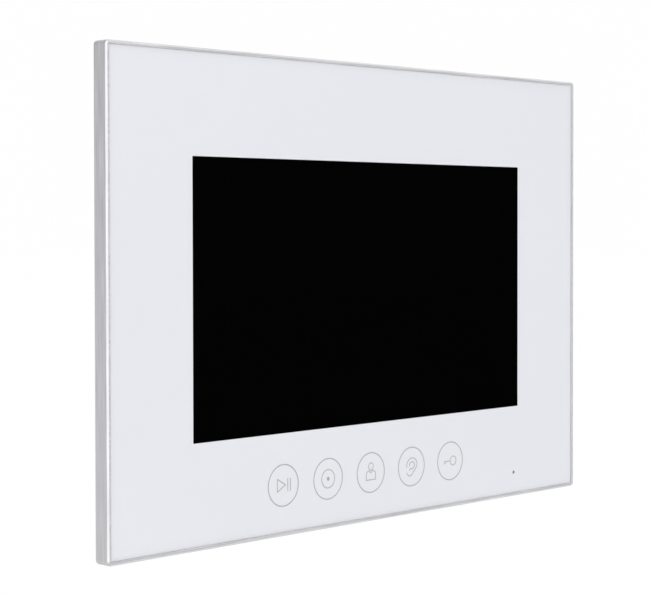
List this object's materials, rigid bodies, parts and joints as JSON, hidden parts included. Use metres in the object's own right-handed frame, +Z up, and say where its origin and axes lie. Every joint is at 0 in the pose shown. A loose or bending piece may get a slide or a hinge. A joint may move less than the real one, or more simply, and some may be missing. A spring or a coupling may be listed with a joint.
{
  "type": "video intercom monitor",
  "caption": "Wall-mounted video door entry monitor: white glass front in a thin aluminium frame, wide display, round touch keys, shallow rear box and hook-on wall bracket.",
  "frame": {"origin": "centre of the wall bracket's back face, on the wall", "axes": "+X to the right as seen from the room, +Y into the wall, +Z up"},
  "size_m": [0.22, 0.024, 0.15],
  "materials": {
    "brushed_aluminium": "brushed along each side, bright polished chamfer",
    "clear_glass": "clear, polished",
    "white_enamel": "white print behind glass",
    "grey_ink": "light grey printed lines",
    "white_plastic": "fine spark texture",
    "black_tape": "foam tape",
    "thin_steel": "plain sheet",
    "display_black": "dark display, switched off",
    "circuit_board": "green solder mask",
    "black_rubber": "matt",
    "lamp_resin": "clear yellowish resin",
    "screw_steel": "zinc plated",
    "zinc_steel": "zinc plated pressed sheet",
    "chip_black": "moulded epoxy",
    "socket_nylon": "natural nylon",
    "socket_red": "red nylon",
    "pin_metal": "tinned brass",
    "capacitor_can": "bare can",
    "ribbon_film": "amber film",
    "card_black": "fine texture, bare of print",
    "dial_plastic": "notched rim",
    "magnet_black": "nickel grey",
    "copper_wire": "enamelled wire",
    "cone_paper": "pressed paper"
  },
  "bodies": {
    "bracket": {"wall_bracket": "zinc_steel"},
    "monitor": {"front_frame": "brushed_aluminium", "front_glass": "clear_glass", "white_print": "white_enamel", "key_symbols": "grey_ink", "panel_carrier": "white_plastic", "frame_tape": "black_tape", "display_tape": "black_tape", "display_bezel": "thin_steel", "display_cell": "display_black", "backlight_unit": "white_plastic", "touch_board": "circuit_board", "touch_pads": "black_rubber", "key_lamps": "lamp_resin", "microphone_boot": "black_rubber", "microphone": "thin_steel", "rear_housing": "white_plastic", "housing_screws": "screw_steel", "main_board": "circuit_board", "processor": "chip_black", "memory_chips": "chip_black", "interface_chips": "chip_black", "inductors": "chip_black", "clock_crystal": "thin_steel", "ribbon_sockets": "socket_nylon", "capacitors": "capacitor_can", "board_screws": "screw_steel", "door_socket_1": "socket_nylon", "door_socket_2": "socket_nylon", "extension_socket": "socket_nylon", "power_socket": "socket_red", "socket_pins": "pin_metal", "display_ribbon": "ribbon_film", "touch_ribbon": "ribbon_film", "card_socket": "thin_steel", "dial_board": "circuit_board", "dial_posts": "thin_steel", "dial_board_screws": "screw_steel", "speaker_gasket": "black_rubber", "speaker_basket": "thin_steel", "speaker_yoke": "thin_steel", "speaker_magnet": "magnet_black", "speaker_pole": "thin_steel", "speaker_screws": "screw_steel"},
    "card": {"memory_card": "card_black"},
    "volume_wheel": {"volume_dial": "dial_plastic"},
    "brightness_wheel": {"brightness_dial": "dial_plastic"},
    "contrast_wheel": {"contrast_dial": "dial_plastic"},
    "diaphragm": {"voice_coil": "copper_wire", "speaker_cone": "cone_paper", "speaker_surround": "black_rubber"}
  },
  "joints": [
    {"name": "lift_off", "type": "slide", "parent": "bracket", "child": "monitor", "axis": [0, 0, 1], "range_m": [0, 0.0037]},
    {"name": "card_pull", "type": "slide", "parent": "monitor", "child": "card", "axis": [-1, 0, 0], "range_m": [0, 0.0155]},
    {"name": "volume_turn", "type": "hinge", "parent": "monitor", "child": "volume_wheel", "pos_m": [0.0906, -0.01005, -0.014], "axis": [0, 1, 0], "range_deg": [-135, 135]},
    {"name": "brightness_turn", "type": "hinge", "parent": "monitor", "child": "brightness_wheel", "pos_m": [0.0906, -0.01005, -0.031], "axis": [0, 1, 0], "range_deg": [-135, 135]},
    {"name": "contrast_turn", "type": "hinge", "parent": "monitor", "child": "contrast_wheel", "pos_m": [0.0906, -0.01005, -0.048], "axis": [0, 1, 0], "range_deg": [-135, 135]},
    {"name": "diaphragm_travel", "type": "slide", "parent": "monitor", "child": "diaphragm", "axis": [0, 1, 0], "range_m": [-0.0004, 0.0004], "stiffness_N_per_m": 60, "deforming": ["speaker_surround"]}
  ]
}
